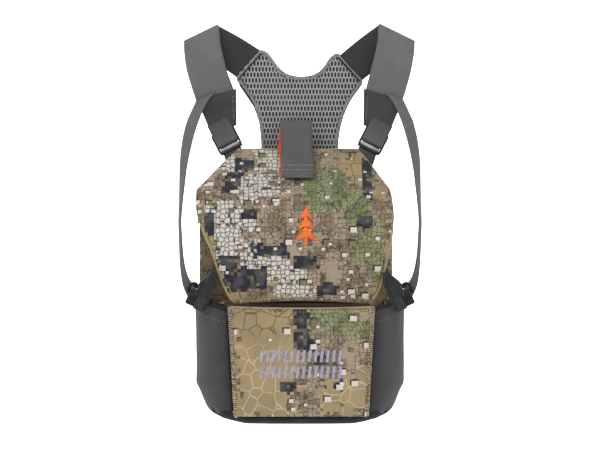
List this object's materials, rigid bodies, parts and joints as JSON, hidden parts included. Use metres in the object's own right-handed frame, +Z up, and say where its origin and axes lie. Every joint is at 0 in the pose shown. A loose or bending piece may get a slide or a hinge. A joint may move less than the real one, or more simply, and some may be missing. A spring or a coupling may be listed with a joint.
{
  "type": "binocular harness pack",
  "caption": "Chest pack for binoculars with a forward-opening magnetic hood lid, front slip pocket, stretch side pockets, buckled side straps and a mesh shoulder yoke.",
  "frame": {"origin": "centre of the flat base that the pack stands on", "axes": "+Z up, -Y out of the front with the lid and pocket, +X to the viewer's right"},
  "size_m": [0.2474, 0.1201, 0.4049],
  "materials": {
    "camo_fabric": "printed brushed polyester in a block camouflage, matt",
    "back_fabric": "dark grey plain-weave nylon over foam, matt",
    "spacer_mesh": "light grey knitted spacer mesh with oval holes",
    "stretch_knit": "charcoal stretch knit, matt",
    "dark_elastic": "dark folded elastic binding",
    "foam": "closed-cell foam under thin cloth",
    "brown_lining": "dark brown brushed lining",
    "grey_webbing": "mid grey ribbed nylon webbing",
    "yoke_cloth": "dark grey plain-weave cloth",
    "tan_binding": "tan overlocked binding with brown and pale stitches",
    "black_plastic": "moulded acetal, satin black",
    "orange_lining": "orange nylon lining",
    "orange_thread": "raised orange embroidery",
    "pale_thread": "raised pale grey embroidery",
    "magnet_steel": "plated magnet"
  },
  "bodies": {
    "pack": {"back_magnet_left": "magnet_steel", "back_magnet_right": "magnet_steel", "back_pad": "spacer_mesh", "back_panel": "back_fabric", "base_foam": "foam", "base_panel": "back_fabric", "corner_panel_left": "back_fabric", "corner_panel_right": "back_fabric", "front_pocket": "camo_fabric", "front_wall": "camo_fabric", "hinge_strip": "brown_lining", "junction_patch_left": "back_fabric", "junction_patch_right": "back_fabric", "lower_anchor_left": "grey_webbing", "lower_anchor_right": "grey_webbing", "lower_female_left": "black_plastic", "lower_female_right": "black_plastic", "pocket_binding_left": "tan_binding", "pocket_binding_right": "tan_binding", "pocket_lining": "brown_lining", "pocket_mark": "pale_thread", "pocket_top_binding": "tan_binding", "shoulder_strap_left": "grey_webbing", "shoulder_strap_right": "grey_webbing", "side_hem_left": "dark_elastic", "side_hem_right": "dark_elastic", "side_pocket_left": "stretch_knit", "side_pocket_right": "stretch_knit", "side_strap_left": "grey_webbing", "side_strap_right": "grey_webbing", "side_wall_left": "camo_fabric", "side_wall_right": "camo_fabric", "upper_anchor_left": "grey_webbing", "upper_anchor_right": "grey_webbing", "upper_loop_left": "grey_webbing", "upper_loop_right": "grey_webbing", "yoke_backing": "yoke_cloth", "yoke_binding": "dark_elastic", "yoke_mesh": "spacer_mesh"},
    "lid": {"lid_shell": "camo_fabric", "lid_hem": "tan_binding", "lid_lining": "brown_lining", "lid_lip": "brown_lining", "lid_magnet_left": "magnet_steel", "lid_magnet_right": "magnet_steel", "lid_emblem": "orange_thread", "pull_tab": "grey_webbing", "tab_lining": "orange_lining"},
    "lower_male_left": {"lower_male_left": "black_plastic", "strap_tail_left": "grey_webbing"},
    "upper_lock_left": {"upper_lock_left": "black_plastic"},
    "lower_male_right": {"lower_male_right": "black_plastic", "strap_tail_right": "grey_webbing"},
    "upper_lock_right": {"upper_lock_right": "black_plastic"}
  },
  "joints": [
    {"name": "lid_hinge", "type": "hinge", "parent": "pack", "child": "lid", "pos_m": [0, -0.044, 0.121], "axis": [1, 0, 0], "range_deg": [0, 100]},
    {"name": "lower_release_left", "type": "slide", "parent": "pack", "child": "lower_male_left", "axis": [-0.4226, 0, -0.9063], "range_m": [0, 0.018], "deforming": ["side_strap_left"]},
    {"name": "upper_tilt_left", "type": "hinge", "parent": "pack", "child": "upper_lock_left", "pos_m": [-0.07073, 0.04895, 0.27762], "axis": [-0.891, 0, -0.454], "range_deg": [0, 20], "deforming": ["upper_loop_left"]},
    {"name": "lower_release_right", "type": "slide", "parent": "pack", "child": "lower_male_right", "axis": [0.4226, 0, -0.9063], "range_m": [0, 0.018], "deforming": ["side_strap_right"]},
    {"name": "upper_tilt_right", "type": "hinge", "parent": "pack", "child": "upper_lock_right", "pos_m": [0.07073, 0.04895, 0.27762], "axis": [-0.891, 0, 0.454], "range_deg": [0, 20], "deforming": ["upper_loop_right"]}
  ]
}
